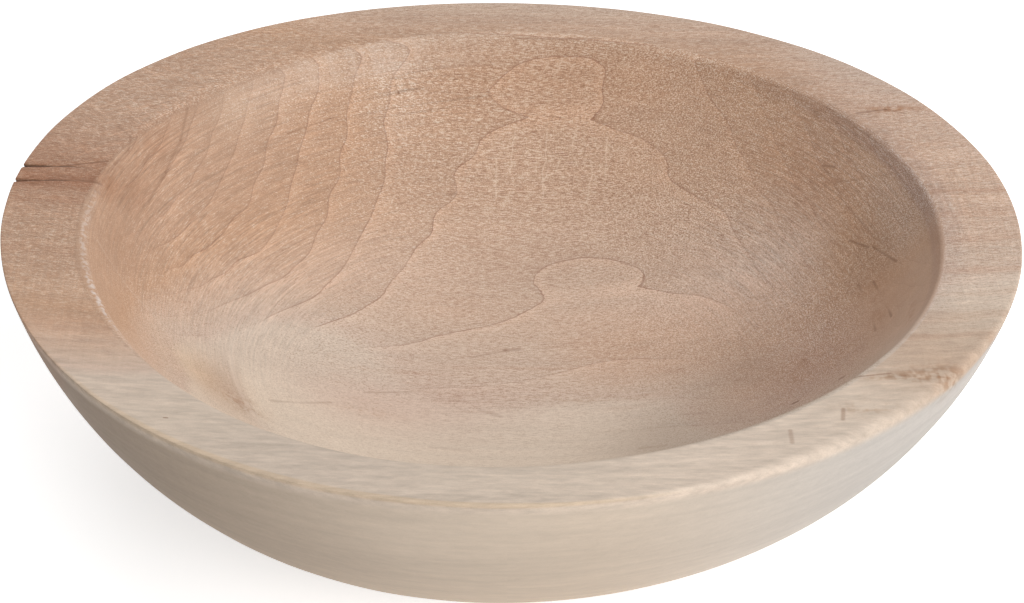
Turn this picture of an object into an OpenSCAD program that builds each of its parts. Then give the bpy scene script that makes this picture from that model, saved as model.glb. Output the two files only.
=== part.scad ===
// Round dough bowl, turned and hand finished from one block of pale wood.
// Millimetres. The bowl stands on z = 0 with its axis on Z, and the centre of its foot is the origin.

/* [Rim] */
// Diameter of the rim, measured to the corner that its eased outer edge takes off
rim_d = 362; // [300:1:420]
// Width of the rim's top face, from its outer edge to its inner edge
rim_w = 28.5; // [18:0.5:40]
// How far the rim's top face falls from its outer edge to its inner edge
rim_drop = 2; // [0:0.1:6]
// Radius that eases the outer edge of the rim
outer_edge_r = 2.5; // [1:0.5:6]
// Radius that eases the inner edge of the rim
inner_edge_r = 3; // [1:0.5:6]

/* [Outside] */
// Height from the foot to that outer corner of the rim
height = 96.4; // [75:0.1:130]
// Diameter of the foot, measured to the corner that its eased edge takes off
foot_d = 172; // [130:1:220]
// Radius of the arc that the outside follows from the foot to the rim
outside_r = 139; // [110:1:260]
// Radius that eases the edge of the foot
foot_edge_r = 4; // [1:0.5:8]

/* [Hollow] */
// Thickness of the wood under the middle of the hollow
floor_t = 20; // [12:1:32]
// Diameter of the flat middle of the hollow's floor
floor_d = 48; // [10:1:120]

/* [Hidden] */
$fn = 180;
wood = [0.80, 0.68, 0.56];

// How far cutting shapes run past the wood that they cut
past = 20;

// Corners of the half section, as [distance from the axis, height]
rim_outer = [rim_d / 2, height];
rim_inner = [rim_d / 2 - rim_w, height - rim_drop];
foot_corner = [foot_d / 2, 0];

// Unit vector along the rim's top face towards the axis, and the one square to it into the wood
rim_in = (rim_inner - rim_outer) / norm(rim_inner - rim_outer);
rim_down = [-rim_in[1], rim_in[0]];

// Centre of the outside arc, which passes through the foot's corner and the rim's outer corner
outside_chord = rim_outer - foot_corner;
outside_centre = (rim_outer + foot_corner) / 2
    + [-outside_chord[1], outside_chord[0]] / norm(outside_chord)
    * sqrt(pow(outside_r, 2) - pow(norm(outside_chord) / 2, 2));

// The hollow's wall arc leaves the flat floor level and ends at the rim's inner corner
hollow_depth = rim_inner[1] - floor_t;
hollow_run = rim_inner[0] - floor_d / 2;
hollow_r = (pow(hollow_run, 2) + pow(hollow_depth, 2)) / (2 * hollow_depth);
hollow_centre = [floor_d / 2, floor_t + hollow_r];

// Centre of the circle of radius edge_r that eases the rim's outer edge: it touches the rim's face and the outside
function outer_edge_centre(edge_r) =
    let (from_centre = rim_outer + edge_r * rim_down - outside_centre,
         along = from_centre * rim_in,
         inset = -along - sqrt(pow(along, 2) - from_centre * from_centre + pow(outside_r - edge_r, 2)))
    rim_outer + edge_r * rim_down + inset * rim_in;

// The same for the rim's inner edge, between the rim's face and the hollow
function inner_edge_centre(edge_r) =
    let (from_centre = rim_inner + edge_r * rim_down - hollow_centre,
         along = from_centre * rim_in,
         inset = along + sqrt(pow(along, 2) - from_centre * from_centre + pow(hollow_r + edge_r, 2)))
    rim_inner + edge_r * rim_down - inset * rim_in;

// The same for the foot's edge, between the foot and the outside
function foot_edge_centre(edge_r) =
    [outside_centre[0] + sqrt(pow(outside_r - edge_r, 2) - pow(outside_centre[1] - edge_r, 2)), edge_r];

// Point of a circle that lies on the ray from its centre through p
function on_circle(centre, r, p) = centre + r * (p - centre) / norm(p - centre);

// The block's half section: the outside arc, the flat foot and the sloping rim, with no hollow
module block_section() {
    intersection() {
        union() {
            translate(outside_centre) circle(r = outside_r);
            square([max(outside_centre[0], foot_d / 4), height]);
        }
        polygon([[0, 0], [rim_outer[0] + past, 0], rim_outer - past * rim_in, rim_inner,
                 [0, rim_inner[1]]]);
    }
}

// The hollow's half section: a flat middle and the wall arc, open at the top
module hollow_section() {
    intersection() {
        union() {
            translate(hollow_centre) circle(r = hollow_r);
            translate([0, floor_t]) square([floor_d / 2, hollow_r]);
        }
        translate([0, floor_t]) square([rim_inner[0] + past, hollow_depth + past]);
    }
}

// The four-sided patch of section between an edge's centre and the corner that it takes off
module edge_patch(centre, on_face, on_arc, corner) {
    polygon([centre, on_face, corner, on_arc]);
}

// Takes a sharp corner off the section and leaves a round edge that meets both faces smoothly
module eased(centre, edge_r, on_face, on_arc, corner) {
    outside_corner = corner + (corner - centre);
    difference() {
        children();
        edge_patch(centre, on_face, on_arc, outside_corner);
    }
    intersection() {
        translate(centre) circle(r = edge_r);
        edge_patch(centre, on_face, on_arc, outside_corner);
    }
}

// The whole half section of the bowl, with its three eased edges
module bowl_section() {
    outer_c = outer_edge_centre(outer_edge_r);
    inner_c = inner_edge_centre(inner_edge_r);
    foot_c = foot_edge_centre(foot_edge_r);
    eased(outer_c, outer_edge_r, outer_c - outer_edge_r * rim_down,
          on_circle(outside_centre, outside_r, outer_c), rim_outer)
    eased(inner_c, inner_edge_r, inner_c - inner_edge_r * rim_down,
          on_circle(hollow_centre, hollow_r, inner_c), rim_inner)
    eased(foot_c, foot_edge_r, [foot_c[0], 0],
          on_circle(outside_centre, outside_r, foot_c), foot_corner)
    difference() {
        block_section();
        hollow_section();
    }
}

// The bowl: one solid piece of wood, with no joint or fastener in it
module bowl() {
    color(wood) rotate_extrude() bowl_section();
}

bowl();
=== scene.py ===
import math

import bpy
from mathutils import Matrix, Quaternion, Vector


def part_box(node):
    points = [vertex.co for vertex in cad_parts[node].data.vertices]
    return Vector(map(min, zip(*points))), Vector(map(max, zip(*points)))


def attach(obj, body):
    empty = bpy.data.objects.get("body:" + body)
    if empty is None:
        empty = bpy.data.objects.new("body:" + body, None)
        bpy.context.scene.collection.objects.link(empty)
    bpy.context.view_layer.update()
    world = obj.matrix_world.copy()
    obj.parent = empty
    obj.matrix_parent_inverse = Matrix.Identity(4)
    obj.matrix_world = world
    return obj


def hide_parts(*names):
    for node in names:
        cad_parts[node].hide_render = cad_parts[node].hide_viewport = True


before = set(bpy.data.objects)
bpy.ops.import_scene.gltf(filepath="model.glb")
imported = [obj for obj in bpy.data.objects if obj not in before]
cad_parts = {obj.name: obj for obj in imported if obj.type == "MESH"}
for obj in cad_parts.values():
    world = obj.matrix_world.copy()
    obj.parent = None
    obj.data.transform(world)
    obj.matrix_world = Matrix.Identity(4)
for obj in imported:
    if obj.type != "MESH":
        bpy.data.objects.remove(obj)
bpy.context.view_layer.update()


# The bowl
# One block of pale, fine-pored wood, turned to a round shallow bowl with a wide flat rim, then scraped
# and sanded by hand, so its edges are crisp in some places and rubbed round in others.

class Wire:
    """An output socket of a node tree. Arithmetic on it adds Math nodes, and add() any other node."""

    def __init__(self, tree, socket=None):
        self.tree = tree
        self.socket = socket

    def add(self, kind, settings=None, inputs=None, output=0):
        made = self.tree.nodes.new(kind)
        for name, value in (settings or {}).items():
            if name == "stops":
                ramp = made.color_ramp
                for place, colour in value[1:-1]:
                    ramp.elements.new(place).color = colour
                ramp.elements[0].position, ramp.elements[0].color = value[0]
                ramp.elements[-1].position, ramp.elements[-1].color = value[-1]
            else:
                setattr(made, name, value)
        for key, value in (inputs or {}).items():
            if isinstance(value, Wire):
                self.tree.links.new(value.socket, made.inputs[key])
            else:
                made.inputs[key].default_value = value
        return Wire(self.tree, made.outputs[output])

    def out(self, name):
        return Wire(self.tree, self.socket.node.outputs[name])

    def math(self, operation, *others):
        values = dict(enumerate((self, *others)))
        return self.add("ShaderNodeMath", {"operation": operation}, values)

    def __add__(self, other):
        return self.math("ADD", other)

    def __sub__(self, other):
        return self.math("SUBTRACT", other)

    def __mul__(self, other):
        return self.math("MULTIPLY", other)

    def __truediv__(self, other):
        return self.math("DIVIDE", other)

    def __rsub__(self, other):
        return self * -1 + other

    __radd__ = __add__
    __rmul__ = __mul__


mm = 0.001
low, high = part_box("bowl")
rim_corner = Vector((high.x, high.z))
rim_width = 28.5 * mm
rim_drop = 2 * mm
foot_radius = 86 * mm
outside_radius = 139 * mm
floor_thickness = 20 * mm
floor_radius = 24 * mm
foot_ease = 4 * mm

inner_corner = rim_corner - Vector((rim_width, rim_drop))
foot_corner = Vector((foot_radius, low.z))
outside_chord = rim_corner - foot_corner
outside_centre = (rim_corner + foot_corner) / 2 + Vector((-outside_chord.y, outside_chord.x)).normalized() \
    * math.sqrt(outside_radius ** 2 - outside_chord.length_squared / 4)
hollow_depth = inner_corner.y - floor_thickness
hollow_run = inner_corner.x - floor_radius
hollow_radius = (hollow_run ** 2 + hollow_depth ** 2) / (2 * hollow_depth)
hollow_centre = Vector((floor_radius, floor_thickness + hollow_radius))


def straight(start, end, count):
    """Points from start up to, but not including, end."""
    return [start.lerp(end, step / count) for step in range(count)]


def arc(centre, start, end, count):
    """Points of the shorter arc from start up to, but not including, end."""
    first, last = start - centre, end - centre
    turn = math.atan2(first.x * last.y - first.y * last.x, first.dot(last))
    angle = math.atan2(first.y, first.x)
    angles = [angle + turn * step / count for step in range(count)]
    return [centre + first.length * Vector((math.cos(a), math.sin(a))) for a in angles]


def eased(start, corner, end, count):
    """Points of the curve that leaves start towards the corner and reaches end from it."""
    shares = [step / count for step in range(count)]
    return [start * (1 - t) ** 2 + corner * 2 * t * (1 - t) + end * t * t for t in shares]


def along(centre, corner, away, distance):
    """The point that lies the distance from the corner, round the circle, on the side of away."""
    arm = corner - centre
    side = 1 if arm.x * (away - corner).y - arm.y * (away - corner).x > 0 else -1
    turn = side * distance / arm.length
    return centre + Vector((arm.x * math.cos(turn) - arm.y * math.sin(turn),
                            arm.x * math.sin(turn) + arm.y * math.cos(turn)))


# Points on each stretch of the half section, from the middle of the hollow to the middle of the foot
floor_points, wall_points, edge_points, rim_points = 9, 68, 14, 22
outside_points, foot_edge_points, foot_points = 52, 6, 9


def half_section(inner_ease, outer_ease):
    """The bowl's outline from the middle of the hollow over the rim to the middle of the foot."""
    along_rim = (rim_corner - inner_corner).normalized()
    floor_edge = Vector((floor_radius, floor_thickness))
    wall_top = along(hollow_centre, inner_corner, floor_edge, inner_ease)
    rim_start = inner_corner + along_rim * inner_ease
    rim_end = rim_corner - along_rim * outer_ease
    outside_top = along(outside_centre, rim_corner, foot_corner, outer_ease)
    outside_end = along(outside_centre, foot_corner, rim_corner, foot_ease)
    foot_edge = foot_corner - Vector((foot_ease, 0))
    return (straight(Vector((0, floor_thickness)), floor_edge, floor_points)
            + arc(hollow_centre, floor_edge, wall_top, wall_points)
            + eased(wall_top, inner_corner, rim_start, edge_points)
            + straight(rim_start, rim_end, rim_points)
            + eased(rim_end, rim_corner, outside_top, edge_points)
            + arc(outside_centre, outside_top, outside_end, outside_points)
            + eased(outside_end, foot_corner, foot_edge, foot_edge_points)
            + straight(foot_edge, Vector((0, low.z)), foot_points)
            + [Vector((0, low.z))])


# The section as it left the lathe, and the same section with its two rim edges rubbed round
crisp = half_section(inner_ease=1.2 * mm, outer_ease=0.9 * mm)
worn = half_section(inner_ease=9 * mm, outer_ease=9 * mm)
section_count = len(crisp)
hollow_end = floor_points + wall_points + edge_points
outer_edge_start = hollow_end + rim_points

section = bpy.data.meshes.new("bowl_section")
section.from_pydata([(p.x, 0, p.y) for p in crisp + worn], [], [])

turning = bpy.data.node_groups.new("turned_bowl", "GeometryNodeTree")
sizes = {
    "Section points": ("NodeSocketInt", section_count),
    "Hollow points": ("NodeSocketInt", hollow_end),
    "Outer edge from": ("NodeSocketInt", outer_edge_start),
    "Columns": ("NodeSocketInt", 481),
    "Finer towards": ("NodeSocketFloat", math.radians(169)),
    "Scraper waves": ("NodeSocketFloat", 0.4 * mm),
    "Crack depth": ("NodeSocketFloat", 2.6 * mm),
}
turning.interface.new_socket("Geometry", in_out="OUTPUT", socket_type="NodeSocketGeometry")
turning.interface.new_socket("Section", in_out="INPUT", socket_type="NodeSocketGeometry")
for name, (kind, _) in sizes.items():
    turning.interface.new_socket(name, in_out="INPUT", socket_type=kind)
turning.interface.new_socket("Wood", in_out="INPUT", socket_type="NodeSocketMaterial")

given_node = turning.nodes.new("NodeGroupInput")
given = {socket.name: Wire(turning, socket) for socket in given_node.outputs if socket.name}
lathe = Wire(turning)
blank = lathe.add("GeometryNodeMeshGrid", inputs={
    "Size X": 1, "Size Y": 1, "Vertices X": given["Columns"], "Vertices Y": given["Section points"]})
number = lathe.add("GeometryNodeInputIndex")
column = (number / given["Section points"]).math("FLOOR")
place = number - column * given["Section points"]
full_turn = column / (given["Columns"] - 1) * 2 * math.pi
bunching = 0.8
azimuth = full_turn + given["Finer towards"] - math.pi + full_turn.math("SINE") * bunching


def lobe(centre_degrees, sharpness):
    """One at an azimuth, falling to nothing on both sides of it."""
    facing = (azimuth - math.radians(centre_degrees)).math("COSINE")
    return facing.math("MAXIMUM", 0).math("POWER", sharpness)


def section_point(index):
    position = lathe.add("GeometryNodeInputPosition")
    return lathe.add("GeometryNodeSampleIndex", {"data_type": "FLOAT_VECTOR", "domain": "POINT"},
                     {"Geometry": given["Section"], "Value": position, "Index": index})


# The two edges of the rim are rubbed round by different amounts at different places
inner_wear = (lobe(128, 10) * 0.65 + lobe(85, 6) * 0.3 + lobe(180, 12) * 0.25 + lobe(270, 4) * 0.22
              + lobe(14, 6) * 0.08).math("MINIMUM", 1)
outer_wear = (lobe(-45, 14) * 0.8 + lobe(90, 4) * 0.25 + 0.03).math("MINIMUM", 1)
on_rim = (place - given["Hollow points"]) / (given["Outer edge from"] - given["Hollow points"])
outwards = on_rim.math("MAXIMUM", 0).math("MINIMUM", 1)
wear = inner_wear * (1 - outwards) + outer_wear * outwards
profile = lathe.add("ShaderNodeMix", {"data_type": "VECTOR"}, {
    0: wear, 4: section_point(place), 5: section_point(place + given["Section points"])}, output=1)
radius = profile.add("ShaderNodeSeparateXYZ", inputs={0: profile})
height = radius.out(2)

# The wood has moved since it was turned: waves round the bowl, in millimetres for the cosine and the sine
outside_waves = [(-0.8, 0.35), (0.7, -0.4), (0.9, 1.3), (-0.65, -0.4)]
hollow_waves = [(-0.05, -1.35), (-0.5, 0.45), (1.2, 1.2), (-0.55, -0.7)]


def out_of_round(waves):
    """How far the wood has moved outwards at an azimuth."""
    total = 0
    for count, (cosine, sine) in enumerate(waves, start=1):
        turn = azimuth * count
        total = turn.math("COSINE") * cosine * mm + turn.math("SINE") * sine * mm + total
    return total


full_waves_from = 120 * mm
moved = out_of_round(hollow_waves) * (1 - outwards) + out_of_round(outside_waves) * outwards
true_radius = radius + moved * (radius / full_waves_from).math("MINIMUM", 1)
turned = lathe.add("ShaderNodeCombineXYZ", inputs={
    0: true_radius * azimuth.math("COSINE"), 1: true_radius * azimuth.math("SINE"), 2: height})
shaped = lathe.add("GeometryNodeSetPosition", inputs={"Geometry": blank, "Position": turned})
outward = lathe.add("GeometryNodeFlipFaces", inputs={"Mesh": shaped})
closed = lathe.add("GeometryNodeMergeByDistance", inputs={"Geometry": outward, "Distance": 0.01 * mm})

# Two drying cracks run in from the left along the grain. Each has its ends along X, a point that it passes,
# its slope in the plan, its half width at the outside and its share of the full depth, in millimetres
cracks = [
    {"from_x": -181, "to_x": -163, "at_x": -170, "at_y": 36.1, "slope": 0.065,
     "half_width": 1.4, "deep": 1.0},
    {"from_x": -181, "to_x": -166, "at_x": -172, "at_y": 25.2, "slope": 0.12,
     "half_width": 1.2, "deep": 0.7},
]
crack_foot, crack_full = 62, 90


def crack_gap(crack, x, y):
    """Distance in millimetres from the middle of a crack."""
    return (y - (x - crack["at_x"]) * crack["slope"] - crack["at_y"]).math("ABSOLUTE")


def crack_opening(crack, x, z):
    """How far open a crack is, from nothing at its inner end to one at the outside of the bowl."""
    inner_end = (crack["to_x"] - x) / (crack["to_x"] - crack["from_x"])
    lower_end = (z - crack_foot) / (crack_full - crack_foot)
    return inner_end.math("MAXIMUM", 0).math("MINIMUM", 1) * lower_end.math("MAXIMUM", 0).math("MINIMUM", 1)


spot = lathe.add("ShaderNodeVectorMath", {"operation": "SCALE"}, {
    0: lathe.add("GeometryNodeInputPosition"), "Scale": 1 / mm})
spot_x = lathe.add("ShaderNodeSeparateXYZ", inputs={0: spot})
hairline = 0.15
groove_depth = 0
for crack in cracks:
    opening = crack_opening(crack, spot_x, spot_x.out(2))
    half_width = opening * crack["half_width"] + hairline
    vee = 1 - crack_gap(crack, spot_x, spot_x.out(1)) / half_width
    groove_depth = vee.math("MAXIMUM", 0) * opening * crack["deep"] + groove_depth
waves_per_mm = 0.034
waves = lathe.add("ShaderNodeTexNoise", {"noise_dimensions": "3D"}, {
    "Vector": spot, "Scale": waves_per_mm, "Detail": 1, "Roughness": 0.4})
flat_foot_height = 5
off_foot = (spot_x.out(2) / flat_foot_height).math("MAXIMUM", 0).math("MINIMUM", 1)
inwards = (waves * given["Scraper waves"] + groove_depth * given["Crack depth"]) * off_foot
cut = lathe.add("ShaderNodeVectorMath", {"operation": "SCALE"}, {
    0: lathe.add("GeometryNodeInputNormal"), "Scale": inwards * -1})
scraped = lathe.add("GeometryNodeSetPosition", inputs={"Geometry": closed, "Offset": cut})
smooth = lathe.add("GeometryNodeSetShadeSmooth", inputs={"Geometry": scraped})
real = lathe.add("GeometryNodeRealizeInstances", inputs={"Geometry": smooth})
finished = lathe.add("GeometryNodeSetMaterial", inputs={"Geometry": real, "Material": given["Wood"]})
result = turning.nodes.new("NodeGroupOutput")
turning.links.new(finished.socket, result.inputs[0])

# The wood of the bowl
# A maple-like block cut from one side of a log: the growth rings are tubes about a pith line that ran
# above the bowl, so every line on the surface is a cut through them. Brown heart, cream sapwood in front.
wood = bpy.data.materials.new("bare_wood")
wood.use_nodes = True
wood.node_tree.nodes.clear()
grain = Wire(wood.node_tree)
coordinates = grain.add("ShaderNodeTexCoord", output="Object")
point = grain.add("ShaderNodeVectorMath", {"operation": "SCALE"}, {0: coordinates, "Scale": 1 / mm})
x = grain.add("ShaderNodeSeparateXYZ", inputs={0: point})
y = x.out(1)
z = x.out(2)
radius_here = (x * x + y * y).math("SQRT")
around = x.math("ARCTAN2", y)


def vector(operation, first, second, output=0):
    return grain.add("ShaderNodeVectorMath", {"operation": operation}, {0: first, 1: second}, output)


def joined(first, second, third):
    return grain.add("ShaderNodeCombineXYZ", inputs={0: first, 1: second, 2: third})


def mixed(share, first, second):
    return grain.add("ShaderNodeMix", {"data_type": "RGBA"}, {0: share, 6: first, 7: second}, output=2)


def scaled(direction, factor):
    return grain.add("ShaderNodeVectorMath", {"operation": "SCALE"}, {0: direction, "Scale": factor})


def shaded(colour, factor):
    """The colour made lighter or darker, as a mix from black that may go beyond it."""
    return grain.add("ShaderNodeMix", {"data_type": "RGBA", "clamp_factor": False}, {
        0: factor, 6: (0, 0, 0, 1), 7: colour}, output=2)


def filtered(colour, share, filter_colour):
    """The colour seen through a thin stain."""
    return grain.add("ShaderNodeMix", {"data_type": "RGBA", "blend_type": "MULTIPLY"}, {
        0: share, 6: colour, 7: filter_colour}, output=2)


def rise(value, start, end):
    """Nothing at start, one at end, smooth between them."""
    return grain.add("ShaderNodeMapRange", {"interpolation_type": "SMOOTHSTEP", "clamp": False}, {
        "Value": value, "From Min": start, "From Max": end})


def within(value, half_width):
    """One where a value is nought, and nothing where it is half a width or more away from it."""
    return rise(value.math("ABSOLUTE"), half_width, half_width * 0.2)


def noise(place, detail=2, roughness=0.5):
    """Noise between about -0.5 and 0.5."""
    return grain.add("ShaderNodeTexNoise", {"noise_dimensions": "3D"}, {
        "Vector": place, "Scale": 1, "Detail": detail, "Roughness": roughness}) - 0.5


def speckle(stretch, detail=2, roughness=0.5, shift=0):
    """Noise whose frequencies along X, Y and Z are given per millimetre."""
    spread = grain.add("ShaderNodeMapping", inputs={
        "Vector": coordinates, "Scale": Vector(stretch) / mm, "Location": (shift, shift, shift)})
    return noise(spread, detail, roughness)


def strokes(degrees, along, across, shift=0, detail=1):
    """Noise drawn out along one direction of the plan, with its frequencies along and across it."""
    length, width = mm / along, mm / across
    drawn_out = grain.add("ShaderNodeMapping", {"vector_type": "TEXTURE"}, {
        "Vector": coordinates, "Rotation": (0, 0, math.radians(degrees)),
        "Location": (0, 0, -shift * width), "Scale": (length, width, width)})
    return noise(drawn_out, detail, roughness=0.6)


def lathe_strokes(across, turning_rate, detail=0, roughness=0.5):
    """Noise drawn out round the bowl, with its frequencies per millimetre across and per radian along."""
    return noise(joined(radius_here * across, z * across, around * turning_rate), detail, roughness)


def from_centre(centre, half_sizes):
    """How far a point is from a place in the wood, in half sizes along X, Y and Z."""
    return vector("DIVIDE", vector("SUBTRACT", point, centre), half_sizes)


def bell(shares):
    """One where the shares are nought, falling to nothing where they grow."""
    return (vector("DOT_PRODUCT", shares, shares, output=1) * -1).math("EXPONENT")


def blob(centre, half_sizes):
    """One at a place in the wood, falling to nothing over the half sizes along X, Y and Z."""
    return bell(from_centre(centre, half_sizes))


def towards(degrees, sharpness):
    """One at an azimuth, falling to nothing on both sides of it."""
    angle = math.radians(degrees)
    facing = (x * math.cos(angle) + y * math.sin(angle)) / radius_here
    return facing.math("MAXIMUM", 0).math("POWER", sharpness)


# Which surface a point is on: the hollow, the rim's face or the outside
hollow_distance = ((radius_here - floor_radius / mm).math("MAXIMUM", 0).math("POWER", 2)
                   + (z - hollow_centre.y / mm).math("POWER", 2)).math("SQRT")
in_hollow = rise(hollow_distance, hollow_radius / mm + 2.0, hollow_radius / mm + 0.5)
on_face = rise(z, 90, 93.5) * (1 - in_hollow)
on_outside = (1 - in_hollow) * (1 - on_face)

# The pith line, bowed and a little tilted, and the rings about it, counted outwards in levels
pith_y, pith_z = 39, 156
pith_slide, pith_tilt, pith_bow = 0.047, 0.067, 0.00091
ring_width, first_ring = 6, 127.1
across = y + x * pith_slide - pith_y
above = z - x * pith_tilt - x * x * pith_bow - pith_z
pith_distance = (across * across + above * above).math("SQRT")
level = (pith_distance - first_ring) / ring_width
slope_x = across * pith_slide - above * (x * (2 * pith_bow) + pith_tilt)
level_slope = scaled(joined(slope_x, across, above), (pith_distance * ring_width).math("POWER", -1))

# Swellings of single rings, which draw the oval and the bell on the back wall: centre, half sizes and lift
swellings = [
    ((0, 126, 70), (75, 42, 42), 0.26), ((34, 128, 69), (30, 8, 8), -0.22),
    ((18, 152, 93), (36, 12, 12), -0.34), ((-12, 113, 54), (18, 12, 12), 0.10),
    ((52, 136, 80), (16, 12, 12), -0.40), ((-45, 72, 33), (30, 25, 25), 0.16),
    ((82, 78, 50), (24, 26, 26), 0.36), ((-82, 66, 45), (25, 28, 28), -0.40),
    ((30, 74, 31), (27, 8, 8), 0.24), ((30, 62, 27), (34, 7, 9), -0.10),
    ((-63, 20, 26), (20, 20, 20), 0.42), ((-18, 128, 69), (18, 7, 7), -0.30),
    ((14, 130, 69), (16, 5, 5), -0.19), ((-35, 95, 42), (14, 10, 10), 0.10),
    ((-45, 128, 73), (14, 22, 22), 0.32), ((62, 104, 54), (14, 8, 8), -0.10),
    ((88, 112, 70), (16, 16, 16), 0.24), ((35, 50, 21), (18, 9, 8), -0.26),
    ((-20, 56, 23), (24, 9, 8), -0.38), ((60, 142, 88), (24, 10, 10), 0.24),
    ((84, 40, 30), (18, 14, 12), 0.28),
]
for centre, half_sizes, lift in swellings:
    shares = from_centre(centre, half_sizes)
    swelling = bell(shares) * lift
    level = level + swelling
    level_slope = vector("ADD", level_slope, scaled(vector("DIVIDE", shares, half_sizes), swelling * -2))
ripples = [((0.05, 0.21, 0.32), 0, 0.03), ((0.08, -0.30, 0.47), 1.3, 0.03), ((0.11, 0.35, 0), 2.1, 0.02)]
ripple_share = rise(z, 18, 60) * 0.8 + 0.2
for rates, start, lift in ripples:
    turn = vector("DOT_PRODUCT", point, rates, output=1) + start
    level = level + turn.math("SINE") * ripple_share * lift
    level_slope = vector("ADD", level_slope, scaled(rates, turn.math("COSINE") * ripple_share * lift))
level = level + speckle((0.15, 0.4, 0.4), detail=1, shift=9) * 0.03
phase = level.math("FRACT")

# The rings that a millimetre of the surface crosses, and so the distance along it to the next and last line
straight_in = vector("DOT_PRODUCT", level_slope, coordinates.out("Normal"), output=1)
crossed = vector("DOT_PRODUCT", level_slope, level_slope, output=1) - straight_in * straight_in
crossed = crossed.math("MAXIMUM", 0.0002).math("SQRT")
before_line = (1 - phase) / crossed
after_line = phase / crossed

# Colour by ring: brown heart, a pink zone, then cream sapwood, whose limit wanders from ring to ring
limit_shift = rise(y, 0, 150) * -1.6 + rise(x, 85, 140) * on_face * 4
limit_shift = limit_shift - rise(x, -60, -140) * rise(z, 50, 90) * 3.6
for centre, half_sizes, lift in [
        ((-88, 8, 36), (45, 55, 35), 4.2), ((-122, -25, 62), (20, 24, 22), 2.6),
        ((102, -22, 46), (36, 36, 30), -5.0), ((108, 42, 53), (30, 32, 25), 2.4),
        ((150, 0, 88), (12, 40, 10), 1.6)]:
    limit_shift = limit_shift + blob(centre, half_sizes) * lift
limit_shift = limit_shift - rise(y, 60, 35) * rise(y, -5, 20) * rise(x, 0, 45) * in_hollow * 2.5
sap_level = level + limit_shift + speckle((0.012, 0.05, 0.05), detail=2, shift=31) * 1.2
levels_shown = 14
shades = grain.add("ShaderNodeValToRGB", {"stops": [
    (0.0, (0.478, 0.303, 0.206, 1)),
    (0.28, (0.506, 0.312, 0.202, 1)),
    (0.50, (0.572, 0.398, 0.296, 1)),
    (0.60, (0.572, 0.425, 0.330, 1)),
    (0.67, (0.580, 0.440, 0.352, 1)),
    (0.72, (0.602, 0.490, 0.400, 1)),
    (1.0, (0.588, 0.484, 0.392, 1)),
]}, {"Fac": sap_level / levels_shown + 0.5})
sap = rise(sap_level, 2.5, 3.2 + rise(x, 30, 70) * 2.5)

# Each ring goes from pale to dark and ends in a thin line, weaker in the sapwood, at the right and in front
line = rise(before_line, 0.75, 0.15)
early_edge = rise(after_line, 6, 0.1)
late_edge = rise(before_line, 3, 0)
fading = (1 - sap * 0.75) * (1 - rise(x, 55, 95) * 0.6) * (1 - rise(y, 40, 12) * 0.7)
left_fading = (1 - rise(x, -40, -90) * 0.3) * (1 - rise(radius_here, 122, 140) * towards(188, 6) * 0.7)
uneven = 0.6 + rise(speckle((0.02, 0.05, 0.05), detail=1, shift=57), -0.2, 0.1) * 0.4
ring_strength = fading * left_fading * uneven * (in_hollow * 0.85 + 0.15)
colour = shaded(shades, 1 + (early_edge * 0.11 - phase * 0.07 - late_edge * 0.04) * ring_strength)

# How rough the surface is: most at the back and sides of the hollow, least on the front rim
torn = blob((72, 84, 42), (34, 30, 18))
hollow_rough = (0.65 + rise(z, 24, 55) * 0.35 + torn * 0.4) * (0.7 + rise(y, -60, 20) * 0.3)
burnished = rise(x, 114, 136) * rise(y, 28, -6) * 0.8 + rise(radius_here, 130, 143) * towards(186, 8) * 0.45
hollow_rough = hollow_rough * (1 - burnished) * (1 - sap * rise(y, 15, -15) * 0.3)
face_rough = 0.14 + rise(y, -110, -10) * 0.62
outside_rough = 0.08
rough = in_hollow * hollow_rough + on_face * face_rough + on_outside * outside_rough

# Fibres run along X; open pores and torn fibres speckle the hollow, most of all where the cut is end grain
fibre = speckle((0.06, 1.1, 1.1), detail=2, roughness=0.6, shift=3)
fleck = speckle((2.0, 2.6, 2.6), detail=0, shift=5)
dash = speckle((0.42, 2.8, 2.8), detail=0, shift=44)
turned_fleck = lathe_strokes(2.7, 38)
turned_zone = (towards(32, 10) + towards(152, 5)).math("MINIMUM", 1)
turned_zone = turned_zone * in_hollow * rise(radius_here, 70, 100)
end_grain = in_hollow * rise(x, 20, 100) * rise(y, -95, -20)
grit = fleck * (0.9 + end_grain * 0.9) * (1 - turned_zone * 0.5)
grit = grit + dash * (1 - end_grain * 0.8) * (1 - turned_zone) + turned_fleck * turned_zone * 0.5
full_grit, grit_share = 0.34, 0.68
pale_fibre, dark_pore = (0.78, 0.67, 0.56, 1), (0.27, 0.145, 0.085, 1)
colour = mixed(rise(grit, 0, full_grit) * rough * grit_share, colour, pale_fibre)
colour = mixed(rise(grit, 0, -full_grit) * rough * grit_share, colour, dark_pore)

# Wider streaks and clouds of colour along the fibres, mottle on the smooth rim and arcs round the outside
streak = speckle((0.008, 0.22, 0.22), detail=2, shift=17) * (in_hollow * 0.12 + on_face * 0.26 + 0.05)
cloud = speckle((0.014, 0.03, 0.03), detail=1, shift=23) * 0.14
smooth_part = on_face * rise(y, -20, -110) * 0.5 + on_outside * 0.16
mottle = speckle((0.13, 0.5, 0.5), detail=2, shift=71) * smooth_part
outside_arcs = lathe_strokes(0.35, 2.5, detail=2) * on_outside * 0.22
colour = shaded(colour, 1 + fibre * rough * (0.04 + on_face * 0.56) + streak + cloud + mottle + outside_arcs)
floor_streak = rise(speckle((0.012, 0.3, 0.3), detail=2, shift=27), 0.03, 0.2)
floor_middle = blob((5, 12, 22), (85, 32, 14))
colour = filtered(colour, floor_streak * floor_middle * 0.4, (0.84, 0.72, 0.64, 1))
colour = mixed(line * ring_strength * 0.58, colour, (0.28, 0.13, 0.08, 1))

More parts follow.
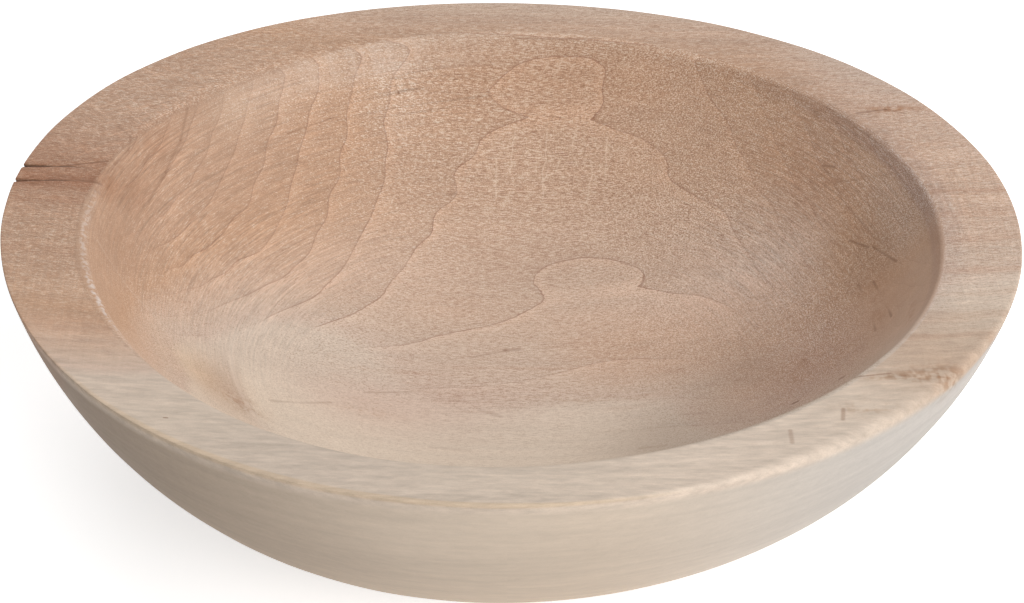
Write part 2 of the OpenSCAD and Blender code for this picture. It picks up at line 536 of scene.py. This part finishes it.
# Lathe lines run round the hollow, at the left drawn close together by the scraper
groove = lathe_strokes(1.3, 6, detail=1, roughness=0.6)
groove_zone = (towards(150, 3) * 0.7 + towards(32, 10) * 0.6).math("MINIMUM", 1)
groove = groove * groove_zone * in_hollow * rise(radius_here, 60, 100)
tool_line = rise(lathe_strokes(0.36, 1.2).math("ABSOLUTE"), 0.05, 0)
tool_zone = blob((-32, 133, 78), (30, 12, 12)) + towards(150, 8) * 0.6
tool_zone = tool_zone * in_hollow * rise(radius_here, 95, 120)
colour = shaded(colour, 1 + groove * 0.85 - tool_line * tool_zone * 0.26)

# Pale nicks down the bell and the oval, where the scraper jumped: place along X, lean, lowest and highest Z
nicks = [(-6.5 + 6.1 * count, 0.1, 45 + 7 * (count % 3), 57 + 8 * (count % 2)) for count in range(8)]
nicks += [(7 + 5 * count, 0.5, 81.5, 86) for count in range(4)]
sway = speckle((0.2, 0.2, 0.2), detail=0) * 2
nicked = 0
for place, lean, lowest, highest in nicks:
    nick = within(x + sway - (z - lowest) * lean - place, 0.55)
    nicked = nick * rise(z, lowest - 1, lowest + 2) * rise(z, highest + 1, highest - 2) + nicked
colour = mixed(nicked * in_hollow * rise(y, 60, 90) * 0.28, colour, (0.80, 0.68, 0.56, 1))

# Sanding scratches cross each other on the back left of the rim, and lie along it on both sides
crossing = strokes(40, 0.06, 1.0, shift=2).math("MAXIMUM", strokes(130, 0.06, 1.0, shift=8))
crossing = rise(crossing, 0.02, 0.22) * on_face * towards(150, 4)
scratch = strokes(92, 0.05, 1.1, shift=13) * on_face * (towards(5, 6) + towards(186, 8)).math("MINIMUM", 1)
rim_ring = noise(joined(radius_here * 1.1, 3.3, around * 2.5), detail=1)
rim_ring = rim_ring * on_face * rise(radius_here, 170, 160)
rim_ring = rim_ring * (towards(15, 5) + towards(190, 8) * 0.5)
colour = shaded(colour, 1 + crossing * 0.2 + scratch * 0.3 + rim_ring * 0.2)

# Bands in the rim's face, where it cuts along the rings: side, place along Y, half width and strength
drift = strokes(0, 0.03, 0.12, shift=12) * 10
for side, place, half_width, strength in [
        (1, 24, 2.5, 0.5), (1, 10, 4, 0.2), (1, -9, 4, 0.3), (1, -31, 5, 0.45), (1, -47, 3, 0.3),
        (1, -62, 5, 0.35), (1, -75, 4, 0.4), (-1, 27, 9, 0.6), (-1, 12, 4, 0.3), (-1, -24, 8, 0.3),
        (-1, -74, 8, 0.25)]:
    strip = within(y + drift - place, half_width) * on_face * rise(x * side, 90, 130)
    colour = filtered(colour, strip * strength, (0.86, 0.74, 0.67, 1))

# Stains and bruises: soft brown marks, each with its place, half sizes and strength
stains = [
    ((140, -101, 95), (13, 6, 6), 0.9), ((125, -101, 95), (12, 2, 6), 0.6),
    ((115, -121, 95), (9, 5, 6), 0.45), ((143, 88, 95), (13, 3, 5), 0.9), ((-148, 42, 94), (4, 3, 4), 0.8),
    ((131, -8, 66), (3, 22, 5), 0.3), ((138, -42, 82), (4, 14, 4), 0.3), ((-49, -14, 24), (13, 3, 4), 0.35),
    ((-94, -42, 44), (10, 6, 7), 0.6), ((20, 2, 21), (60, 4, 6), 0.3), ((104, -17, 45), (3, 7, 4), 0.5),
]
blotch = strokes(0, 0.12, 0.3, shift=21, detail=2) + strokes(95, 0.2, 0.5, shift=33, detail=1) * 0.6
blotch = rise(blotch, -0.12, 0.22)
for centre, half_sizes, strength in stains:
    colour = filtered(colour, blob(centre, half_sizes) * blotch * strength, (0.62, 0.44, 0.30, 1))


def scar(start, end, half_width):
    """One along the straight way between two places in the wood, and nothing half a width beside it."""
    way = Vector(end) - Vector(start)
    away = vector("SUBTRACT", point, start)
    share = vector("DOT_PRODUCT", away, way / way.length_squared, output=1)
    nearest = scaled(way, share.math("MAXIMUM", 0).math("MINIMUM", 1))
    return rise(vector("DISTANCE", away, nearest, output=1), half_width, half_width * 0.2)


# Single strokes of a tool, fine splits and resin specks: both ends, half width and strength
scars = [
    ((-86.5, 106.5, 72.4), (-70.5, 117.6, 73.3), 0.5, 0.5),
    ((-70.5, 117.6, 73.3), (-45.6, 127.8, 73.1), 0.5, 0.4),
    ((-44, 98, 46.7), (-21.7, 105.4, 47.3), 0.5, 0.45),
    ((-79, 93.5, 57.2), (-57.7, 102.4, 53.9), 0.6, 0.3), ((126.3, 14, 61.8), (128.7, -25, 66), 0.9, 0.4),
    ((131, 8.9, 66.1), (133.9, -25, 71.8), 0.9, 0.5), ((125, 39, 65.9), (131, 28.6, 68.9), 0.8, 0.5),
    ((132, 27, 70.3), (138.7, 8.3, 74.9), 0.9, 0.55), ((122, 67, 74.9), (140, 49.3, 88.5), 0.9, 0.25),
    ((117.3, 77, 76.6), (121.4, 73, 78.3), 0.8, 0.45), ((99.6, -42.7, 46.6), (101, -43, 47.5), 1.2, 0.7),
    ((115, -45.8, 59), (116, -46.5, 60), 1.5, 0.5), ((107.7, -121, 94.7), (107, -128, 95.1), 1.1, 0.45),
    ((89.7, -134, 94.7), (89.8, -142, 95.2), 1.2, 0.35),
    ((113, -100.6, 93.8), (125, -99, 94.6), 0.7, 0.5),
    ((-14.6, 28.4, 20.1), (-1.6, 33.6, 20.1), 1.2, 0.2),
    ((-1.6, 33.6, 20.1), (3.3, 34.3, 20.2), 1.5, 0.35),
    ((-85, -27.4, 35.9), (-64.5, -13.3, 26.3), 1.2, 0.25),
    ((-10.4, -7.7, 19.8), (-3, -11.6, 19.9), 1.6, 0.2), ((62, -17.7, 25.4), (70.5, -21, 28.4), 1.4, 0.15),
    ((-28, -34, 21), (-13.6, -35, 20.3), 1.4, 0.12),
    ((46.8, -38.8, 24.5), (55.5, -40.3, 26.8), 1.6, 0.15), ((-53, -1, 22.9), (-36, 3.8, 20.4), 0.9, 0.25),
    ((-164, 36.5, 95.1), (-147.6, 42.5, 94.1), 0.8, 0.6), ((-176, 33, 95.2), (-150, 27, 93.5), 2.2, 0.3),
    ((-166, 26.5, 95.1), (-148, 26.6, 93.2), 1.2, 0.4), ((-172, 22, 95.1), (-142, 21, 92), 1.6, 0.25),
    ((-153, 65, 94.8), (-146.4, 69, 94.5), 0.9, 0.22),
    ((-146.4, 69, 94.5), (-141.3, 62.2, 94), 0.9, 0.26),
    ((-141.3, 62.2, 94), (-141.2, 53.9, 92.5), 0.9, 0.28),
    ((-141.2, 53.9, 92.5), (-145, 42.2, 93), 0.9, 0.28),
    ((-136.2, 85.4, 94.5), (-129.8, 90, 94.3), 0.9, 0.22),
    ((-129.8, 90, 94.3), (-127.1, 84.3, 92.7), 0.9, 0.25),
    ((-122.7, 89.3, 91.8), (-124.5, 77.3, 84.5), 0.9, 0.3),
    ((-124.5, 77.3, 84.5), (-128.9, 61.3, 79.4), 0.9, 0.3),
    ((-128.9, 61.3, 79.4), (-133.4, 42.6, 77), 1.0, 0.28), ((1, 149.3, 93), (34.5, 148, 94), 0.8, 0.4),
    ((130, 86, 94.3), (141, 88, 94.9), 0.9, 0.55), ((141, 88, 94.9), (148, 84.4, 95.2), 0.8, 0.3),
    ((5, 131.3, 69.2), (19, 129.6, 68.5), 0.4, 0.3), ((19, 129.6, 68.5), (41.3, 125.2, 68.8), 0.4, 0.25),
    ((-28, 134.7, 76.4), (-8.6, 136.4, 75.7), 0.35, 0.4),
    ((-28, 138.7, 81.8), (-6.7, 139.4, 79.4), 0.35, 0.3),
    ((-28, 130.5, 71.5), (4.9, 131.3, 69.2), 0.35, 0.45),
    ((-28, 140.7, 84.7), (-7.9, 143, 84.6), 0.35, 0.35),
    ((-44.6, 131.8, 77.6), (-44.4, 131.7, 77.4), 0.7, 0.9),
    ((-110, -131, 95.2), (-109, -131, 95.2), 0.6, 0.7),
]
scarred = 0
for start, end, half_width, strength in scars:
    scarred = scar(start, end, half_width) * strength + scarred
scarred = (scarred * (1 + fleck * 0.9)).math("MINIMUM", 1)
colour = mixed(scarred, colour, (0.22, 0.11, 0.062, 1))

# The smooth orange band down the left of the hollow, with the pale lathe line between it and the floor
band = in_hollow * rise(x * -0.59 - y * 0.807, 87, 98) * rise(radius_here, 98, 106)
colour = filtered(colour, band * 0.15, (0.97, 0.88, 0.76, 1))
floor_line = within(radius_here - 100.5, 1.4) * towards(196, 24) * in_hollow
left_crease = scar((-146, -6, 88.6), (-134, -14.7, 73.3), 0.9)
left_crease = left_crease + scar((-134, -14.7, 73.3), (-122, -17.7, 60.8), 0.9)
colour = mixed(floor_line * 0.4 + left_crease * 0.15, colour, (0.74, 0.63, 0.53, 1))

# The worn inner edge: pale at the back left, white and chalky at the left, with painted grey shade along it
# at the right
worn_edge = rise(radius_here, 140, 145) * rise(radius_here, 155, 151) * rise(z, 80, 86) * towards(112, 16)
ribs = rise(noise(joined(around * 70, radius_here * 0.1, 0.5), detail=1), -0.2, 0.2)
colour = mixed(worn_edge * (0.12 + ribs * 0.2), colour, (0.68, 0.54, 0.45, 1))
chalk = within(radius_here - 150.4, 1.8) * rise(z, 80, 88) * (towards(203, 80) + towards(184, 40) * 0.5)
chalk = chalk * rise(speckle((0.5, 0.5, 0.5), detail=1, shift=83), -0.1, 0.14)
colour = mixed(chalk * 0.62, colour, (0.74, 0.67, 0.63, 1))
# Painted grey shade along the inner edge at the right
inner_edge_shade = rise(radius_here, 148, 149.5) * rise(radius_here, 153.5, 152) * rise(z, 84, 88) * towards(14, 6)
colour = filtered(colour, inner_edge_shade * 0.9, (0.84, 0.84, 0.89, 1))

# The outer edge is burnished to a yellow line in front
edge_line = rise(z, 93.6, 95) * rise(radius_here, 177.6, 178.8)
edge_line = edge_line * (towards(-120, 6) + towards(-80, 8)).math("MINIMUM", 1)
colour = filtered(colour, edge_line * 0.4, (1.0, 0.86, 0.62, 1))

# Soft zones where the hollow and its edge are made darker, paler or tinted: centre, half sizes and tint
hollow_zones = [
    ((20, 138, 82), (62, 16, 16), (1.0, 0.935, 0.875)), ((38, 112, 58), (62, 26, 22), (1.01, 0.97, 0.93)),
    ((-50, 78, 37), (30, 20, 15), (1.05, 1.07, 1.09)), ((-45, -8, 23), (45, 18, 10), (0.97, 0.90, 0.90)),
    ((64, 44, 28), (28, 22, 11), (1.09, 1.09, 1.10)), ((86, -1, 33), (16, 15, 11), (0.84, 0.82, 0.80)),
    ((108, -18, 52), (26, 34, 24), (0.99, 1.00, 1.07)), ((128, 25, 68), (14, 25, 14), (0.95, 0.92, 0.88)),
    ((112, 72, 73), (18, 25, 18), (0.96, 0.93, 0.92)), ((-108, -35, 50), (18, 16, 15), (0.97, 0.89, 0.80)),
    ((58, -28, 26), (26, 26, 12), (0.93, 0.92, 0.91)), ((98, -32, 44), (22, 22, 16), (0.93, 0.94, 0.96)),
    ((95, 42, 44), (28, 34, 22), (1.08, 1.12, 1.18)), ((-46, 132, 78), (14, 14, 15), (1.10, 1.18, 1.26)),
    ((-138, 40, 83), (8, 12, 9), (0.84, 0.78, 0.74)), ((-139, 6, 79), (10, 16, 12), (0.94, 0.91, 0.88)),
]
for centre, half_sizes, tint in hollow_zones:
    colour = filtered(colour, blob(centre, half_sizes) * in_hollow, (*tint, 1))
edge_zones = [
    ((-106, 102, 86), (11, 13, 11), (1.14, 1.20, 1.24)), ((-132, 66, 87), (9, 14, 9), (0.91, 0.85, 0.81)),
    ((-146, 30, 92), (7, 9, 6), (0.80, 0.70, 0.63)),
]
for centre, half_sizes, tint in edge_zones:
    colour = filtered(colour, blob(centre, half_sizes), (*tint, 1))
beyond_line = rise(radius_here, 96, 101) * blob((-96, -34, 44), (20, 26, 18)) * in_hollow
colour = filtered(colour, beyond_line, (0.81, 0.77, 0.77, 1))

# Whole sides of the hollow, made darker or paler: azimuth, sharpness, radius at which it starts and is full,
# and tint
for degrees, sharpness, start, full, tint in [
        # Painted shade on the front right wall and painted light on the front left wall
        (-45, 5, 35, 85, (0.84, 0.83, 0.82)), (-108, 8, 50, 90, (1.08, 1.08, 1.08)),
        # Painted light high on the right wall, and a paler, bluer band high on the back left wall
        (12, 10, 134, 146, (1.13, 1.20, 1.28)), (126, 14, 137, 145, (1.07, 1.11, 1.14))]:
    painted_side_light_and_tint = towards(degrees, sharpness) * rise(radius_here, start, full) * in_hollow
    colour = filtered(colour, painted_side_light_and_tint, (*tint, 1))
colour = filtered(colour, sap * in_hollow * rise(y, 10, -25) * rise(x, 70, 20), (1.09, 1.10, 1.09, 1))

# And for stretches of the rim's face: azimuth, sharpness and tint
for degrees, sharpness, tint in [
        (168, 60, (0.80, 0.70, 0.65)), (148, 30, (0.97, 0.98, 1.00)), (208, 60, (0.96, 0.96, 0.96)),
        (24, 8, (1.01, 1.05, 1.11)), (-111, 30, (0.92, 0.92, 0.93)), (-62, 20, (1.06, 1.06, 1.07)),
        (-32, 90, (0.86, 0.78, 0.73))]:
    colour = filtered(colour, towards(degrees, sharpness) * on_face, (*tint, 1))
colour = filtered(colour, on_face * blob((-150, -50, 95), (30, 9, 10)), (1.07, 1.10, 1.13, 1))
colour = filtered(colour, on_face * towards(8, 6) * rise(radius_here, 164, 154), (0.88, 0.88, 0.91, 1))
colour = filtered(colour, on_face * rise(y, 40, 110) * rise(x, -110, -40), (0.92, 0.91, 0.91, 1))
colour = filtered(colour, on_face * rise(y, -150, -60), (0.965, 0.945, 0.925, 1))

# The outside has painted shade at the left, a little brown and deeper at the far left, is greyer at the
# right and has painted light towards the foot
colour = filtered(colour, on_outside * rise(x, -20, -110), (0.80, 0.775, 0.75, 1))
colour = filtered(colour, on_outside * rise(x, -85, -145), (0.80, 0.78, 0.77, 1))
colour = filtered(colour, on_outside * rise(x, 20, 130), (0.90, 1.00, 1.13, 1))
colour = filtered(colour, on_outside * towards(-90, 3), (0.94, 0.94, 0.925, 1))
# Painted light thrown up from the floor makes the outside paler towards the foot
colour = shaded(colour, 1 + on_outside * rise(z, 65, 8) * 0.45)
# Painted shade dims the highlight on the rounded outer edge at the front right
outer_edge_shade = rise(radius_here, 170, 174) * rise(z, 86, 90) * towards(-42, 12)
colour = filtered(colour, outer_edge_shade, (0.93, 0.93, 0.93, 1))

# The cracks are painted near-black inside as their shade, and their inner ends go on as fine painted dark
# lines
for crack in cracks:
    gap = crack_gap(crack, x, y)
    opening = crack_opening(crack, x, z)
    painted_crack_shade = rise(gap, opening * (crack["half_width"] + 0.5) + 0.35, opening * 0.3)
    painted_crack_shade = painted_crack_shade * rise(opening, 0.0, 0.35) * crack["deep"]
    tail = rise(gap, 0.5, 0.1) * rise(x, crack["to_x"] + 14, crack["to_x"] - 2) * on_face * 0.75
    stain = rise(gap, 5, 0) * rise(x, -150, -172) * rise(z, crack_foot, crack_full) * 0.5
    colour = filtered(colour, stain, (0.66, 0.5, 0.38, 1))
    colour = mixed(painted_crack_shade.math("MAXIMUM", tail), colour, (0.055, 0.030, 0.018, 1))

surface_bump = (fibre * 0.15 + fleck) * rough + groove * 0.35
bumps = grain.add("ShaderNodeBump", inputs={"Strength": 0.5, "Distance": 0.25 * mm, "Height": surface_bump})
skin = grain.add("ShaderNodeBsdfPrincipled", inputs={
    "Base Color": colour, "Roughness": 0.72 + fibre * 0.2, "Specular IOR Level": 0.25, "Normal": bumps})
wood_out = wood.node_tree.nodes.new("ShaderNodeOutputMaterial")
wood.node_tree.links.new(skin.socket, wood_out.inputs["Surface"])

bowl = bpy.data.objects.new("dough_bowl", section)
bpy.context.scene.collection.objects.link(bowl)
modifier = bowl.modifiers.new("turning", "NODES")
modifier.node_group = turning
identifiers = {item.name: item.identifier for item in turning.interface.items_tree if item.in_out == "INPUT"}
for name, (_, value) in sizes.items():
    modifier[identifiers[name]] = value
modifier[identifiers["Wood"]] = wood
evaluated = bowl.evaluated_get(bpy.context.evaluated_depsgraph_get())
turned_mesh = bpy.data.meshes.new_from_object(evaluated)
bowl.modifiers.clear()
bowl.data = turned_mesh
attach(bowl, "root")
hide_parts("bowl")


# The floor
# A wide plain white table under the bowl, which takes its shadow and throws light back up at it.
floor_half = 6.0
white_paint = (0.85, 0.85, 0.85, 1)
floor_glow = 0.62
floor_mesh = bpy.data.meshes.new("table")
floor_corners = [(-floor_half, -floor_half, low.z), (floor_half, -floor_half, low.z),
                 (floor_half, floor_half, low.z), (-floor_half, floor_half, low.z)]
floor_mesh.from_pydata(floor_corners, [], [(0, 1, 2, 3)])
floor = bpy.data.objects.new("table", floor_mesh)
bpy.context.scene.collection.objects.link(floor)
white = bpy.data.materials.new("white_table")
white.use_nodes = True
white.node_tree.nodes.clear()
table_wire = Wire(white.node_tree)
matt = table_wire.add("ShaderNodeBsdfDiffuse", inputs={"Color": white_paint})
seen = table_wire.add("ShaderNodeLightPath")
seen = (seen + seen.out("Is Glossy Ray") + seen.out("Is Transmission Ray")).math("MINIMUM", 1)
glow = table_wire.add("ShaderNodeEmission", inputs={"Color": (1, 1, 1, 1), "Strength": seen * floor_glow})
surface = table_wire.add("ShaderNodeAddShader", inputs={0: matt, 1: glow})
table_out = white.node_tree.nodes.new("ShaderNodeOutputMaterial")
white.node_tree.links.new(surface.socket, table_out.inputs["Surface"])
floor_mesh.materials.append(white)


# The lamps and the camera
# Three large soft lights, the strongest low in front and to the right, stand in an even pale room. The
# camera sees the bowl from the height and the distance from which it was photographed.
def soft_lamp(name, place, aim, width, watts):
    lamp = bpy.data.lights.new(name, "AREA")
    lamp.shape = "SQUARE"
    lamp.size = width
    lamp.energy = watts
    thing = bpy.data.objects.new(name, lamp)
    thing.location = place
    thing.rotation_mode = "QUATERNION"
    thing.rotation_quaternion = (Vector(aim) - Vector(place)).to_track_quat("-Z", "Y")
    bpy.context.scene.collection.objects.link(thing)


middle = Vector((0, 0, 60)) * mm
lamp_distance = 1.6
lamp_width = 1.1
for name, degrees, rise_degrees, watts in [
        ("front_window", -60, 25, 20), ("right_window", 10, 50, 9.4), ("back_window", 110, 50, 9.1)]:
    turn, lift = math.radians(degrees), math.radians(rise_degrees)
    side = Vector((math.cos(lift) * math.cos(turn), math.cos(lift) * math.sin(turn), math.sin(lift)))
    soft_lamp(name, middle + side * lamp_distance, middle, lamp_width, watts)

room = bpy.data.worlds.new("pale_room")
bpy.context.scene.world = room
room.use_nodes = True
room.node_tree.nodes.clear()
air = Wire(room.node_tree)
direct = air.add("ShaderNodeLightPath")
direct = (direct + direct.out("Is Glossy Ray") + direct.out("Is Transmission Ray")).math("MINIMUM", 1)
room_light = 0.2
backdrop = air.add("ShaderNodeBackground", inputs={
    "Color": (1, 1, 1, 1), "Strength": direct * (1 - room_light) + room_light})
room_out = room.node_tree.nodes.new("ShaderNodeOutputWorld")
room.node_tree.links.new(backdrop.socket, room_out.inputs["Surface"])

photo_width = 1024
focal_pixels = 3246
camera_distance = 1.166
elevation = math.radians(30.83)
roll = math.radians(0.56)
aim = Vector((0.7, 0, 61.5)) * mm
camera_data = bpy.data.cameras.new("photo_camera")
camera_data.sensor_width = 36
camera_data.lens = focal_pixels / photo_width * camera_data.sensor_width
camera = bpy.data.objects.new("photo_camera", camera_data)
back = Vector((0, -math.cos(elevation), math.sin(elevation)))
camera.location = aim + back * camera_distance
camera.rotation_mode = "QUATERNION"
camera.rotation_quaternion = (-back).to_track_quat("-Z", "Y") @ Quaternion((0, 0, 1), roll)
bpy.context.scene.collection.objects.link(camera)
bpy.context.scene.camera = camera
bpy.context.scene.view_settings.view_transform = "Standard"
